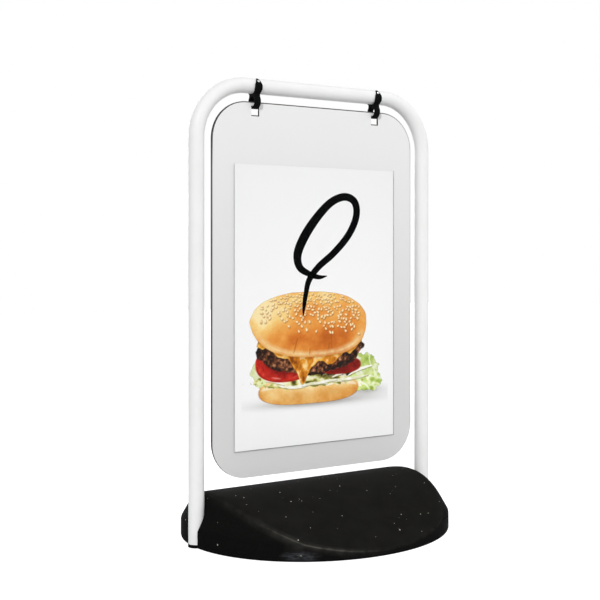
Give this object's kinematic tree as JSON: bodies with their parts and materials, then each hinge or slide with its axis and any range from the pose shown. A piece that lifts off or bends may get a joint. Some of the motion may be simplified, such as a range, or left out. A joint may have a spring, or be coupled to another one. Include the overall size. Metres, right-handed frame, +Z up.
{
  "type": "swinging pavement sign",
  "caption": "Free-standing sign: a bent tube hoop rises from a heavy oval base and carries a rounded poster board that swings on hangers clipped under the top tube.",
  "frame": {"origin": "on the floor, under the middle of the base", "axes": "+Z up; +X along the top tube to the right as seen from the front; the front face of the board looks along -Y"},
  "size_m": [0.611, 0.5198, 0.95],
  "materials": {
    "moulded_base": "matt, finely granular, black",
    "powder_coat_white": "smooth gloss white powder coat",
    "black_nylon": "satin moulded black",
    "zinc_steel": "bright zinc plate",
    "board_grey": "satin light grey sheet",
    "clear_sleeve": "clear glossy plastic film",
    "printed_paper": "coated poster paper",
    "foam_tape": "white foam tape"
  },
  "bodies": {
    "stand": {"base": "moulded_base", "frame_tube": "powder_coat_white", "foot_plug_left": "black_nylon", "foot_plug_right": "black_nylon", "plug_nuts": "zinc_steel", "base_bolts": "zinc_steel", "base_washers": "zinc_steel", "hanger_left": "black_nylon", "hanger_right": "black_nylon", "hanger_screws": "zinc_steel"},
    "board": {"panel_sheet": "board_grey", "sleeve_front": "clear_sleeve", "sleeve_rear": "clear_sleeve", "poster_front": "printed_paper", "poster_rear": "printed_paper", "sleeve_tape_front": "foam_tape", "sleeve_tape_rear": "foam_tape"}
  },
  "joints": [
    {"name": "board_swing", "type": "hinge", "parent": "stand", "child": "board", "pos_m": [0, 0, 0.902], "axis": [1, 0, 0], "range_deg": [-45, 45]}
  ]
}
